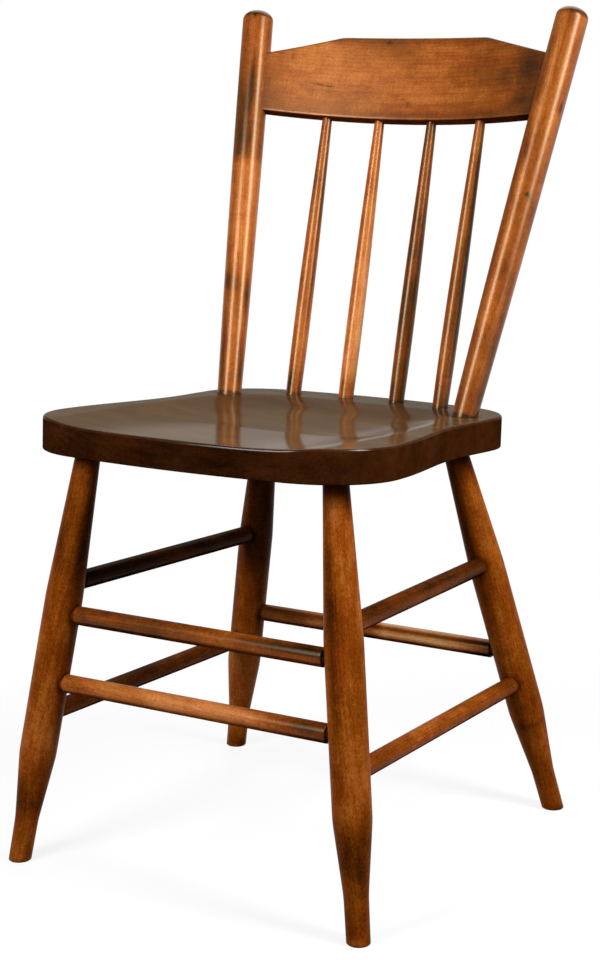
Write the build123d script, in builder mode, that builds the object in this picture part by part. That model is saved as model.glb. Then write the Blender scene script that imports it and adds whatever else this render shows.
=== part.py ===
from build123d import *
import math
import os

# Farmhouse dining chair: a saddled plank seat, four turned legs tied by seven
# stretchers, and a back of two raked posts, four spindles and a bent crest rail.
# The chair faces -Y and stands on z = 0. The origin lies on the floor, below the
# middle of the chair's width and depth. Lengths are millimetres, angles degrees.

# Fits
glue_gap = 0.1
bottom_gap = 0.5
shoulder_gap = 0.3
overrun = 30.0

# Seat: a plank that leans back, wider in front than behind, with drawn-in sides
seat_height = 471.1
seat_lean = 3.0
seat_thickness = 35.0
seat_front = 262.0
seat_rear = 174.0
seat_front_half_width = 203.0
seat_rear_half_width = 184.0
seat_waist_half_width = 181.5
seat_waist_y = 9.0
seat_front_bow_radius = 909.0
seat_rear_bow_radius = 800.0
seat_front_corner_radius = 87.0
seat_rear_corner_radius = 78.0
seat_top_round = 3.0
seat_bottom_round = 1.5

# Saddle: the hollow worked into the top of the seat, open to the front edge.
# Each row of shares is one section of the hollow, from its rear end to the
# crease across the seat: place along it, depth and half width. Every section
# has a broad floor that turns up towards its sides.
saddle_rear = 109.0
saddle_crease = 101.0
saddle_depth = 9.5
saddle_half_width = 168.0
saddle_front_depth = 4.3
saddle_front_half_width = 164.0
hollow_shares = (
    (0.0, 0.0, 0.70),
    (0.12, 0.20, 0.84),
    (0.30, 0.74, 0.92),
    (0.62, 0.95, 0.96),
    (1.0, 1.0, 1.0),
)
floor_width_share = 0.62
floor_depth_share = 0.87

# Legs: turned, with a slim neck, a long even swell, a knee and a slim foot
front_leg_head_x = 148.0
front_leg_head_y = -190.0
front_foot_x = 208.8
front_foot_y = -246.7
rear_leg_head_x = 120.7
rear_leg_head_y = 114.9
rear_foot_x = 216.5
rear_foot_y = 194.7
leg_neck_radius = 13.2
leg_swell_radius = 19.8
leg_ankle_radius = 12.5
leg_foot_radius = 11.8
leg_neck_straight = 8.0
leg_swell_height = 290.0
leg_knee_height = 118.0
leg_ankle_height = 46.0
leg_swell_round = 260.0
leg_knee_round = 110.0
leg_ankle_round = 150.0
leg_tenon_length = 23.0
foot_chamfer = 1.0

# Stretchers: plain dowels with a chamfered shoulder and a round tenon at each end
stretcher_radius = 10.0
stretcher_tenon_radius = 8.0
stretcher_chamfer = 1.2
stretcher_tenon_stop = 2.0
front_upper_height = 271.0
front_lower_height = 197.6
side_upper_front_height = 302.0
side_upper_rear_height = 292.0
side_lower_front_height = 161.0
side_lower_rear_height = 153.0
rear_stretcher_height = 188.0

# Back posts: turned, growing a little towards their domed heads
overall_height = 900.0
post_base_x = 150.8
post_base_y = 82.3
post_head_x = 201.8
post_head_y = 229.4
post_base_radius = 13.8
post_middle_radius = 16.9
post_head_radius = 17.8
post_dome_height = 9.5
post_dome_round = 2.0
post_tenon_length = 23.0

# Crest rail: a board bent backwards, let into the posts and tenoned
crest_below_head = 88.0
crest_lean = 20.0
crest_sagitta = 35.0
crest_thickness = 18.0
crest_below_datum = 30.0
crest_middle_height = 98.3
crest_knee_height = 96.4
crest_end_height = 69.8
crest_knee_x = 91.0
crest_knee_round = 40.0
crest_edge_round = 2.5
crest_shoulder_standoff = 13.5
crest_tongue_thickness = 10.0
crest_tongue_set_in = 10.0
crest_tongue_past_axis = 6.0

# Pegs that lock the crest's tongues from behind the posts
peg_radius = 2.5
peg_proud = 0.5
peg_round = 0.4
peg_past_tongue = 5.0

# Spindles: thin at the crest, fullest a third of the way up from the seat
spindle_inner_base_x = 32.8
spindle_inner_base_y = 145.6
spindle_outer_base_x = 95.0
spindle_outer_base_y = 132.3
spindle_inner_head_x = 33.6
spindle_outer_head_x = 98.6
spindle_base_radius = 8.7
spindle_belly_radius = 9.2
spindle_taper_radius = 7.3
spindle_head_radius = 5.6
spindle_belly_share = 0.3
spindle_taper_share = 0.75
spindle_seat_tenon = 22.0
spindle_crest_tenon = 18.0


def turning_plane(start, end, towards):
    """A plane with the axis from start to end as its local Y, and X facing towards."""
    along = (end - start).normalized()
    side = (towards - along * towards.dot(along)).normalized()
    return Plane(origin=start, x_dir=side, z_dir=side.cross(along))


def height_at(plane, x, y):
    """The point of a plane that lies straight above or below (x, y)."""
    normal = plane.z_dir
    rise = (x - plane.origin.X) * normal.X + (y - plane.origin.Y) * normal.Y
    return Vector(x, y, plane.origin.Z - rise / normal.Z)


def point_at_height(start, end, height):
    """The point of the line from start to end that lies at a height."""
    return start + (end - start) * ((height - start.Z) / (end.Z - start.Z))


def bore(mouth, inward, radius, depth):
    """Cuts a round hole from its mouth inwards, and clears what lies outside it."""
    with Locations(Plane(origin=mouth - inward * overrun, z_dir=inward).location):
        Cylinder(
            radius,
            overrun + depth,
            align=(Align.CENTER, Align.CENTER, Align.MIN),
            mode=Mode.SUBTRACT,
        )


def runs_along(edge, direction):
    """True where the middle of an edge runs within 45 degrees of a direction."""
    return abs((edge % 0.5).dot(direction)) > math.sqrt(0.5)


def save(piece, name):
    """Labels a finished piece and writes it under its own name."""
    piece.part.label = name
    export_step(piece.part, f"parts/{name}.step")


# Datum planes of the seat
seat_top = Plane(
    origin=(0, 0, seat_height),
    x_dir=(1, 0, 0),
    z_dir=(0, math.sin(math.radians(seat_lean)), math.cos(math.radians(seat_lean))),
)
seat_underside = seat_top.offset(-seat_thickness)


# Axes of the legs, from foot to the underside of the seat
def leg_axis(side, end):
    """The foot and head of one leg: side is -1 left or 1 right, end front or rear."""
    if end == "front":
        foot = Vector(side * front_foot_x, front_foot_y, 0)
        head = height_at(seat_underside, side * front_leg_head_x, front_leg_head_y)
    else:
        foot = Vector(side * rear_foot_x, rear_foot_y, 0)
        head = height_at(seat_underside, side * rear_leg_head_x, rear_leg_head_y)
    return foot, head


legs = {
    f"leg_{end}_{word}": leg_axis(side, end)
    for end in ("front", "rear")
    for word, side in (("left", -1), ("right", 1))
}

# Each stretcher runs between the axes of two legs, at a height on each
stretchers = {
    "stretcher_front_upper": (
        ("leg_front_left", front_upper_height),
        ("leg_front_right", front_upper_height),
    ),
    "stretcher_front_lower": (
        ("leg_front_left", front_lower_height),
        ("leg_front_right", front_lower_height),
    ),
    "stretcher_rear": (
        ("leg_rear_left", rear_stretcher_height),
        ("leg_rear_right", rear_stretcher_height),
    ),
}
for word in ("left", "right"):
    stretchers[f"stretcher_{word}_upper"] = (
        (f"leg_front_{word}", side_upper_front_height),
        (f"leg_rear_{word}", side_upper_rear_height),
    )
    stretchers[f"stretcher_{word}_lower"] = (
        (f"leg_front_{word}", side_lower_front_height),
        (f"leg_rear_{word}", side_lower_rear_height),
    )


def stretcher_ends(name):
    """The two points where a stretcher's axis crosses the axes of its legs."""
    return [point_at_height(*legs[leg], height) for leg, height in stretchers[name]]


# Axes of the posts, and the radius of the dome that ends each one
post_dome_radius = (post_head_radius**2 + post_dome_height**2) / (2 * post_dome_height)


def post_axis(side):
    """The base of a post on the seat's top and the peak of its domed head."""
    base = height_at(seat_top, side * post_base_x, post_base_y)
    head = Vector(side * post_head_x, post_head_y, overall_height)
    upright = (head - base).normalized().Z
    return base, head - Vector(0, 0, post_dome_radius * (1 - upright))


# Datum planes of the crest rail. The datum cuts both post axes at one height, and
# the rail's middle surface passes through those two points.
crest_up = Vector(0, math.sin(math.radians(crest_lean)), math.cos(math.radians(crest_lean)))
post_base, post_head = post_axis(1)
post_line = (post_head - post_base).normalized()
post_at_crest = point_at_height(post_base, post_head, overall_height - crest_below_head)
crest_origin = Vector(0, post_at_crest.Y, post_at_crest.Z)
crest_plan = Plane(origin=crest_origin, x_dir=(1, 0, 0), z_dir=crest_up)
crest_back = crest_plan.y_dir
crest_face = Plane(origin=crest_origin, x_dir=(1, 0, 0), z_dir=-crest_back)
crest_half_chord = post_at_crest.X
crest_bend_radius = (crest_half_chord**2 + crest_sagitta**2) / (2 * crest_sagitta)
crest_bend_centre = crest_sagitta - crest_bend_radius
post_slope = post_line.X / post_line.dot(crest_up)


def crest_point(x, height):
    """A point of the rail's middle surface, x across and height above its datum."""
    back = crest_bend_centre + math.sqrt(crest_bend_radius**2 - x**2)
    return crest_origin + Vector(x, 0, 0) + crest_back * back + crest_up * height


def post_x(height):
    """How far out a post's axis lies, at a height above the crest's datum."""
    return crest_half_chord + post_slope * height


def bent_board(thickness, low, high, knee, middle, reach, grow):
    """A board bent to the crest's curve, with its ends parallel to the posts."""
    base = -low - grow
    end = high + grow
    with BuildPart() as board:
        with BuildSketch(crest_plan.offset(base - overrun)):
            with Locations((0, crest_bend_centre)):
                Circle(crest_bend_radius + thickness / 2 + grow)
                Circle(crest_bend_radius - thickness / 2 - grow, mode=Mode.SUBTRACT)
            with Locations((0, crest_sagitta)):
                Rectangle(4 * crest_half_chord, 4 * crest_sagitta, mode=Mode.INTERSECT)
        extrude(amount=2 * overrun + crest_middle_height + 2 * grow)
        with BuildSketch(crest_face) as elevation:
            with BuildLine():
                right_low = (post_x(base) + reach + grow, base)
                right_high = (post_x(end) + reach + grow, end)
                left_low = (-right_low[0], base)
                left_high = (-right_high[0], end)
                Line(left_low, right_low)
                Line(right_low, right_high)
                Line(left_low, left_high)
                if middle:
                    Line(right_high, (crest_knee_x, knee + grow))
                    Line(left_high, (-crest_knee_x, knee + grow))
                    ThreePointArc(
                        (-crest_knee_x, knee + grow),
                        (0, middle + grow),
                        (crest_knee_x, knee + grow),
                    )
                else:
                    Line(left_high, right_high)
            make_face()
            if middle:
                knees = elevation.vertices().filter_by_position(
                    Axis.X, -1.5 * crest_knee_x, 1.5 * crest_knee_x
                )
                fillet(knees, crest_knee_round)
        extrude(amount=3 * crest_sagitta, both=True, mode=Mode.INTERSECT)
    return board


def crest_board(grow):
    """The full section of the crest rail, out to the shoulders at the posts."""
    return bent_board(
        crest_thickness,
        crest_below_datum,
        crest_end_height - crest_below_datum,
        crest_knee_height - crest_below_datum,
        crest_middle_height - crest_below_datum,
        -crest_shoulder_standoff,
        grow,
    )


def crest_tongues(grow):
    """The thinner board whose two ends are the tongues inside the posts."""
    return bent_board(
        crest_tongue_thickness,
        crest_below_datum - crest_tongue_set_in,
        crest_end_height - crest_below_datum - crest_tongue_set_in,
        None,
        None,
        crest_tongue_past_axis,
        grow,
    )


def peg_axis(side):
    """Where a peg crosses its post's axis, and the way it runs, towards the back."""
    height = crest_end_height / 2 - crest_below_datum
    centre = crest_origin + Vector(side * post_x(height), 0, 0) + crest_up * height
    drift = post_line.dot(crest_back) / post_line.dot(crest_up) * height
    out = crest_half_chord / crest_bend_radius
    back = math.sqrt(1 - out**2)
    return centre + crest_back * drift, Vector(side * out, 0, 0) + crest_back * back


def spindle_axis(side, place):
    """The base of a spindle on the seat and its entry at the crest's underside."""
    if place == "inner":
        base_x, base_y, head_x = spindle_inner_base_x, spindle_inner_base_y, spindle_inner_head_x
    else:
        base_x, base_y, head_x = spindle_outer_base_x, spindle_outer_base_y, spindle_outer_head_x
    return (
        height_at(seat_top, side * base_x, base_y),
        crest_point(side * head_x, -crest_below_datum),
    )


spindles = {
    "spindle_1": spindle_axis(-1, "outer"),
    "spindle_2": spindle_axis(-1, "inner"),
    "spindle_3": spindle_axis(1, "inner"),
    "spindle_4": spindle_axis(1, "outer"),
}

os.makedirs("parts", exist_ok=True)


def saddle_section(place, depth, half_width):
    """The plane and the outline of what the saddle cutter takes away at one place."""
    plane = Plane(
        origin=seat_top.from_local_coords((0, place, 0)),
        x_dir=(1, 0, 0),
        z_dir=-seat_top.y_dir,
    )
    side = seat_front_half_width + overrun
    with BuildSketch(plane) as section:
        with BuildLine():
            Line((-side, 0), (-half_width, 0))
            Spline(
                (-half_width, 0),
                (-half_width * floor_width_share, -depth * floor_depth_share),
                (0, -depth),
                (half_width * floor_width_share, -depth * floor_depth_share),
                (half_width, 0),
                tangents=((1, 0), (1, 0)),
            )
            Line((half_width, 0), (side, 0))
            Line((side, 0), (side, overrun))
            Line((side, overrun), (-side, overrun))
            Line((-side, overrun), (-side, 0))
        make_face()
    return section


def saddle_cutter():
    """What the saddling takes off the plank: flat deck, hollow, then the front."""
    length = saddle_rear + saddle_crease
    hollow = [
        saddle_section(
            saddle_rear - place * length, depth * saddle_depth, width * saddle_half_width
        )
        for place, depth, width in hollow_shares
    ]
    deck = saddle_section(
        seat_rear + overrun, 0, hollow_shares[0][2] * saddle_half_width
    )
    front_rise = (saddle_depth - saddle_front_depth) / (seat_front - saddle_crease)
    front = saddle_section(
        -seat_front - overrun,
        saddle_front_depth - front_rise * overrun,
        saddle_front_half_width,
    )
    with BuildPart() as cutter:
        loft([deck.sketch, hollow[0].sketch], ruled=True)
        loft([section.sketch for section in hollow])
        loft([hollow[-1].sketch, front.sketch], ruled=True)
    return cutter


# The seat's outline: bowed front and rear edges, round corners, drawn-in sides
with BuildPart() as seat:
    front_centre_y = -seat_front + seat_front_bow_radius
    corner_x = seat_front_half_width - seat_front_corner_radius
    front_corner_y = front_centre_y - math.sqrt(
        (seat_front_bow_radius - seat_front_corner_radius) ** 2 - corner_x**2
    )
    front_angle = math.atan2(front_corner_y - front_centre_y, corner_x)
    rear_centre_y = seat_rear - seat_rear_bow_radius
    rear_corner_x = seat_rear_half_width - seat_rear_corner_radius
    rear_corner_y = rear_centre_y + math.sqrt(
        (seat_rear_bow_radius - seat_rear_corner_radius) ** 2 - rear_corner_x**2
    )
    rear_angle = math.atan2(rear_corner_y - rear_centre_y, rear_corner_x)
    with BuildSketch(seat_underside):
        with BuildLine():
            CenterArc(
                (0, front_centre_y),
                seat_front_bow_radius,
                -90,
                math.degrees(front_angle) + 90,
            )
            CenterArc(
                (corner_x, front_corner_y),
                seat_front_corner_radius,
                math.degrees(front_angle),
                -math.degrees(front_angle),
            )
            Spline(
                (seat_front_half_width, front_corner_y),
                (seat_waist_half_width, seat_waist_y),
                (seat_rear_half_width, rear_corner_y),
                tangents=((0, 1), (0, 1)),
            )
            CenterArc(
                (rear_corner_x, rear_corner_y),
                seat_rear_corner_radius,
                0,
                math.degrees(rear_angle),
            )
            CenterArc(
                (0, rear_centre_y),
                seat_rear_bow_radius,
                math.degrees(rear_angle),
                90 - math.degrees(rear_angle),
            )
            mirror(about=Plane.YZ)
        make_face()
    extrude(amount=seat_thickness + overrun / 2)
    add(saddle_cutter().part, mode=Mode.SUBTRACT)
    walls = seat.faces().filter_by(
        lambda face: abs(face.normal_at().dot(seat_top.z_dir)) < 0.5
    )
    high_edges = walls.edges().filter_by(
        lambda edge: seat_top.to_local_coords(edge @ 0.5).Z > -seat_thickness / 2
        and not runs_along(edge, seat_top.z_dir)
    )
    fillet(high_edges, seat_top_round)
    fillet(
        seat.edges().filter_by(
            lambda edge: seat_top.to_local_coords(edge @ 0.5).Z < -seat_thickness + glue_gap
        ),
        seat_bottom_round,
    )
    for foot, head in legs.values():
        bore(
            head,
            (head - foot).normalized(),
            leg_neck_radius + glue_gap,
            leg_tenon_length + bottom_gap,
        )
    for side in (-1, 1):
        base, head = post_axis(side)
        bore(
            base,
            (base - head).normalized(),
            post_base_radius + glue_gap,
            post_tenon_length + bottom_gap,
        )
    for base, head in spindles.values():
        bore(
            base,
            (base - head).normalized(),
            spindle_base_radius + glue_gap,
            spindle_seat_tenon + bottom_gap,
        )
save(seat, "seat")


def turned_leg(foot, head, name):
    """A leg turned between centres, cut level with the floor and mortised."""
    along = (head - foot).normalized()
    plane = turning_plane(foot, head, Vector(0, foot.Y, 0))
    stretch = 1 / along.Z
    neck = (head - foot).length
    with BuildPart() as leg:
        with BuildSketch(plane):
            with BuildLine():
                FilletPolyline(
                    (leg_foot_radius, -overrun),
                    (leg_ankle_radius, leg_ankle_height * stretch),
                    (leg_swell_radius, leg_knee_height * stretch),
                    (leg_swell_radius, leg_swell_height * stretch),
                    (leg_neck_radius, neck - leg_neck_straight),
                    radius=[leg_ankle_round, leg_knee_round, leg_swell_round],
                )
                Polyline(
                    (leg_neck_radius, neck - leg_neck_straight),
                    (leg_neck_radius, neck + leg_tenon_length),
                    (0, neck + leg_tenon_length),
                    (0, -overrun),
                    (leg_foot_radius, -overrun),
                )
            make_face()
        revolve(axis=Axis(foot, along))
        split(bisect_by=Plane.XY, keep=Keep.TOP)
        chamfer(leg.edges().group_by(Axis.Z)[0], foot_chamfer)
        for stretcher, ends in stretchers.items():
            places = stretcher_ends(stretcher)
            for here, (leg_name, height) in enumerate(ends):
                if leg_name == name:
                    inward = (places[here] - places[1 - here]).normalized()
                    bore(
                        places[here] - inward * leg_swell_radius,
                        inward,
                        stretcher_tenon_radius + glue_gap,
                        leg_swell_radius - stretcher_tenon_stop + bottom_gap,
                    )
    return leg


for name, (foot, head) in legs.items():
    save(turned_leg(foot, head, name), name)


def shoulder_standoff(leg_name, along):
    """How far from a leg's axis a stretcher's shoulder clears the leg."""
    foot, head = legs[leg_name]
    tilt = math.asin(abs((head - foot).normalized().dot(along)))
    rim = stretcher_radius - stretcher_chamfer
    return leg_swell_radius / math.cos(tilt) + rim * math.tan(tilt) + shoulder_gap


def turned_stretcher(name):
    """A dowel with a chamfered shoulder and a round tenon at each end."""
    start, end = stretcher_ends(name)
    along = (end - start).normalized()
    length = (end - start).length
    first = shoulder_standoff(stretchers[name][0][0], along)
    last = length - shoulder_standoff(stretchers[name][1][0], along)
    rim = stretcher_radius - stretcher_chamfer
    with BuildPart() as stretcher:
        with BuildSketch(turning_plane(start, end, Vector(0, 0, 1))):
            with BuildLine():
                Polyline(
                    (0, stretcher_tenon_stop),
                    (stretcher_tenon_radius, stretcher_tenon_stop),
                    (stretcher_tenon_radius, first),
                    (rim, first),
                    (stretcher_radius, first + stretcher_chamfer),
                    (stretcher_radius, last - stretcher_chamfer),
                    (rim, last),
                    (stretcher_tenon_radius, last),
                    (stretcher_tenon_radius, length - stretcher_tenon_stop),
                    (0, length - stretcher_tenon_stop),
                    close=True,
                )
            make_face()
        revolve(axis=Axis(start, along))
    return stretcher


for name in stretchers:
    save(turned_stretcher(name), name)


def turned_post(side):
    """A back post: plain tenon, gently swelling shaft and a domed head."""
    base, head = post_axis(side)
    along = (head - base).normalized()
    length = (head - base).length
    shaft = length - post_dome_height
    with BuildPart() as post:
        with BuildSketch(turning_plane(base, head, Vector(0, -1, 0))) as profile:
            with BuildLine():
                Spline(
                    (post_base_radius, 0),
                    (post_middle_radius, shaft / 2),
                    (post_head_radius, shaft),
                )
                RadiusArc((post_head_radius, shaft), (0, length), -post_dome_radius)
                Polyline(
                    (0, length),
                    (0, -post_tenon_length),
                    (post_base_radius, -post_tenon_length),
                    (post_base_radius, 0),
                )
            make_face()
            fillet(profile.vertices().sort_by(Axis.X)[-1], post_dome_round)
        revolve(axis=Axis(base, along))
        add(crest_board(glue_gap).part, mode=Mode.SUBTRACT)
        add(crest_tongues(glue_gap).part, mode=Mode.SUBTRACT)
        centre, backward = peg_axis(side)
        bore(
            centre + backward * post_head_radius,
            -backward,
            peg_radius + glue_gap,
            post_head_radius
            + crest_tongue_thickness / 2
            + peg_past_tongue
            + bottom_gap,
        )
    return post


for word, side in (("left", -1), ("right", 1)):
    save(turned_post(side), f"back_post_{word}")

# The crest rail: bent board, tongues, and holes for the spindles and the pegs
with BuildPart() as crest_rail:
    add(crest_board(0).part)
    long_edges = crest_rail.edges().filter_by(
        lambda edge: runs_along(edge, Vector(1, 0, 0))
    )
    fillet(long_edges, crest_edge_round)
    add(crest_tongues(0).part)
    for base, head in spindles.values():
        bore(
            head,
            (head - base).normalized(),
            spindle_head_radius + glue_gap,
            spindle_crest_tenon + bottom_gap,
        )
    for side in (-1, 1):
        centre, backward = peg_axis(side)
        bore(
            centre + backward * crest_tongue_thickness,
            -backward,
            peg_radius + glue_gap,
            2 * crest_tongue_thickness,
        )
save(crest_rail, "crest_rail")


def turned_spindle(base, head):
    """A spindle with plain tenons in the seat and in the crest rail."""
    along = (head - base).normalized()
    length = (head - base).length
    with BuildPart() as spindle:
        with BuildSketch(turning_plane(base, head, Vector(0, -1, 0))):
            with BuildLine():
                Spline(
                    (spindle_base_radius, 0),
                    (spindle_belly_radius, spindle_belly_share * length),
                    (spindle_taper_radius, spindle_taper_share * length),
                    (spindle_head_radius, length),
                )
                Polyline(
                    (spindle_head_radius, length),
                    (spindle_head_radius, length + spindle_crest_tenon),
                    (0, length + spindle_crest_tenon),
                    (0, -spindle_seat_tenon),
                    (spindle_base_radius, -spindle_seat_tenon),
                    (spindle_base_radius, 0),
                )
            make_face()
        revolve(axis=Axis(base, along))
    return spindle


for name, (base, head) in spindles.items():
    save(turned_spindle(base, head), name)


def crest_peg(side):
    """A hardwood peg, its rounded end a little proud of the back of the post."""
    centre, backward = peg_axis(side)
    depth = crest_tongue_thickness / 2 + peg_past_tongue
    with BuildPart() as peg:
        with BuildSketch(Plane(origin=centre - backward * depth, z_dir=backward)):
            Circle(peg_radius)
        extrude(amount=depth + post_head_radius + peg_proud)
        fillet(peg.faces().sort_by(Axis(centre, backward))[-1].edges(), peg_round)
    return peg


for word, side in (("left", -1), ("right", 1)):
    save(crest_peg(side), f"crest_peg_{word}")
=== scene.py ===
# %% [markdown]
# A farmhouse chair, finished in stained and lacquered maple.
#
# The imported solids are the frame: they give every joint its place. Each solid is
# covered here by a smooth surface of the same outer shape, worked out as an array of
# points, so that the lacquer has clean normals to mirror the studio lamps in. Only
# the solids have mortises. Here a tenon runs on into the closed surface of the piece
# that it enters, where nothing shows.
# Sizes are the chair's own, in millimetres, and `mm` turns them to metres.

import math

import bpy
import numpy as np
from mathutils import Matrix, Vector


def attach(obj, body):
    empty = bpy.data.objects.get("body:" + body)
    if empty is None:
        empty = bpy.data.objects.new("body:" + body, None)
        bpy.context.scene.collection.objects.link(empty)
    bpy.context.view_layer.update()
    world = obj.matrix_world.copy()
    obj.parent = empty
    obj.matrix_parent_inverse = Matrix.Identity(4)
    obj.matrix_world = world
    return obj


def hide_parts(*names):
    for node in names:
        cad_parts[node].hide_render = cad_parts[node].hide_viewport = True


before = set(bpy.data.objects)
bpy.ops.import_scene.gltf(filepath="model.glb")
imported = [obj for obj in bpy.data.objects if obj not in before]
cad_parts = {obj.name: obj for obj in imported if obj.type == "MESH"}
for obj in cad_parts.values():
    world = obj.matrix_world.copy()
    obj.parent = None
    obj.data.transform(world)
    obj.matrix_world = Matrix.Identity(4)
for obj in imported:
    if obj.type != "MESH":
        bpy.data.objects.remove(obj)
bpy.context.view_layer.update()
mm = 0.001
print("nodes in the frame:", len(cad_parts))

# %% [markdown]
# The seat is a plank that leans back three degrees, and nearly everything starts
# from it: the legs end on its underside, the posts and spindles on its top. One
# function that gives the height of a point over the floor, at a depth below the
# plank's top plane, places all of those ends.

# %% The seat's plane
seat_height = 471.1
seat_lean = math.radians(3.0)
seat_thickness = 35.0


def on_seat(x, y, drop=0.0):
    """The point straight above or below (x, y), drop below the seat's top plane.

    The plane is y * sin(lean) + (z - seat_height) * cos(lean) = -drop.
    """
    z = seat_height - (y * math.sin(seat_lean) + drop) / math.cos(seat_lean)
    return np.array([x, y, z])


print("seat's front edge over the floor:", round(on_seat(0, -262.0)[2]), "mm")

# %% [markdown]
# Turned parts are solids of revolution, so each is a start, an end and a radius
# along the way. The legs, stretchers, posts, spindles and pegs are all such parts.

# %% Axes of the turned parts
left, right = -1, 1
sides = {"left": left, "right": right}
post_head_radius = 17.8
dome_height = 9.5
dome_radius = (post_head_radius**2 + dome_height**2) / (2 * dome_height)
overall_height = 900.0
leg_places = {  # the foot's x and y, then the head's
    "front": (208.8, -246.7, 148.0, -190.0),
    "rear": (216.5, 194.7, 120.7, 114.9),
}
post_base, post_head = (150.8, 82.3), (201.8, 229.4)


def unit(v):
    """A vector divided by its length."""
    v = np.asarray(v, float)
    return v / np.linalg.norm(v)


def measure(axis):
    """An axis's length and its direction."""
    run = axis[1] - axis[0]
    return np.linalg.norm(run), unit(run)


def leg_axis(end, side):
    """A leg's foot on the floor and its head on the seat's underside."""
    foot_x, foot_y, head_x, head_y = leg_places[end]
    foot = np.array([side * foot_x, foot_y, 0.0])
    return foot, on_seat(side * head_x, head_y, seat_thickness)


def post_axis(side):
    """A post's base on the seat and its head, whose dome reaches the overall height."""
    base = on_seat(side * post_base[0], post_base[1])
    head = np.array([side * post_head[0], post_head[1], overall_height])
    upright = unit(head - base)[2]
    return base, head - [0, 0, dome_radius * (1 - upright)]


def at_height(axis, height):
    """The point of an axis at a height over the floor."""
    start, end = axis
    return start + (end - start) * (height - start[2]) / (end[2] - start[2])


legs = {
    f"leg_{end}_{word}": leg_axis(end, side)
    for end in ("front", "rear")
    for word, side in sides.items()
}
stretcher_heights = {
    "stretcher_front_upper": ("leg_front_left", 271.0, "leg_front_right", 271.0),
    "stretcher_front_lower": ("leg_front_left", 197.6, "leg_front_right", 197.6),
    "stretcher_rear": ("leg_rear_left", 188.0, "leg_rear_right", 188.0),
    "stretcher_left_upper": ("leg_front_left", 302.0, "leg_rear_left", 292.0),
    "stretcher_left_lower": ("leg_front_left", 161.0, "leg_rear_left", 153.0),
    "stretcher_right_upper": ("leg_front_right", 302.0, "leg_rear_right", 292.0),
    "stretcher_right_lower": ("leg_front_right", 161.0, "leg_rear_right", 153.0),
}
stretchers = {
    name: (at_height(legs[a], high_a), at_height(legs[b], high_b))
    for name, (a, high_a, b, high_b) in stretcher_heights.items()
}
posts = {f"back_post_{word}": post_axis(side) for word, side in sides.items()}
print("turned axes:", len(legs) + len(stretchers) + len(posts))

# %% [markdown]
# The crest rail is a board bent to an arc that leans back with the posts. Its arc
# passes through both post axes at one height, the datum, and bows backwards
# between them. Three directions describe it: across, up its face, and back.

# %% The crest rail's arc
crest_lean = math.radians(20.0)
crest_below_head = 88.0
crest_sagitta = 35.0
crest_base = -30.0
post_at_crest = at_height(posts["back_post_right"], overall_height - crest_below_head)
crest_origin = np.array([0, post_at_crest[1], post_at_crest[2]])
across = np.array([1.0, 0.0, 0.0])
crest_up = np.array([0, math.sin(crest_lean), math.cos(crest_lean)])
crest_back = np.cross(crest_up, across)
half_chord = post_at_crest[0]
bend_radius = (half_chord**2 + crest_sagitta**2) / (2 * crest_sagitta)


def crest_point(turn, height, outward):
    """A point of the bent board, in polar form about the centre of its bend.

    turn is the angle round the bend from the middle, height is up the board's
    face from the datum, and outward is the distance behind the middle surface.
    """
    turn, height, outward = np.broadcast_arrays(turn, height, outward)
    reach = (bend_radius + outward)[..., None]
    arc = reach * (np.sin(turn)[..., None] * across + np.cos(turn)[..., None] * crest_back)
    centre = crest_origin + crest_back * (crest_sagitta - bend_radius)
    return centre + arc + height[..., None] * crest_up


def spindle_axis(side, base_x, base_y, head_x):
    """A spindle's base on the seat and its entry in the crest rail's underside."""
    turn = math.asin(side * head_x / bend_radius)
    return on_seat(side * base_x, base_y), crest_point(turn, crest_base, 0.0)


outer_spindle = (95.0, 132.3, 98.6)
inner_spindle = (32.8, 145.6, 33.6)
spindles = {
    "spindle_1": spindle_axis(left, *outer_spindle),
    "spindle_2": spindle_axis(left, *inner_spindle),
    "spindle_3": spindle_axis(right, *inner_spindle),
    "spindle_4": spindle_axis(right, *outer_spindle),
}
print("bend radius of the crest rail:", round(bend_radius), "mm")

# %% [markdown]
# A surface is a grid of points: rows along the piece and columns around it. The
# columns close into loops, and a first and last row shrink to a point, so every
# mesh is a closed skin with its faces outwards. Each point also carries `grain`,
# its place inside the plank in millimetres with the third number along the
# fibres, `tone`, how light the stain came out there, with painted shade, sheen and
# glints added in places, from 0 to 1, and `upward`, how far the surface faces up,
# from -1 to 1.

# %% From a grid of points to a mesh
def step(x, low, high):
    """Rises smoothly from 0 at low to 1 at high: 3t^2 - 2t^3."""
    t = np.clip((x - low) / (high - low), 0, 1)
    return t * t * (3 - 2 * t)


def set_down(name, data):
    """Makes an object of a mesh, a lamp or a camera, and puts it in the scene."""
    thing = bpy.data.objects.new(name, data)
    bpy.context.scene.collection.objects.link(thing)
    return thing


def with_poles(loops):
    """All the loops' values in one list, then the mean of the first and of the last."""
    poles = np.stack([loops[0].mean(0), loops[-1].mean(0)])
    return np.concatenate([loops.reshape(-1, *loops.shape[2:]), poles])


skins = {}


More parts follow.
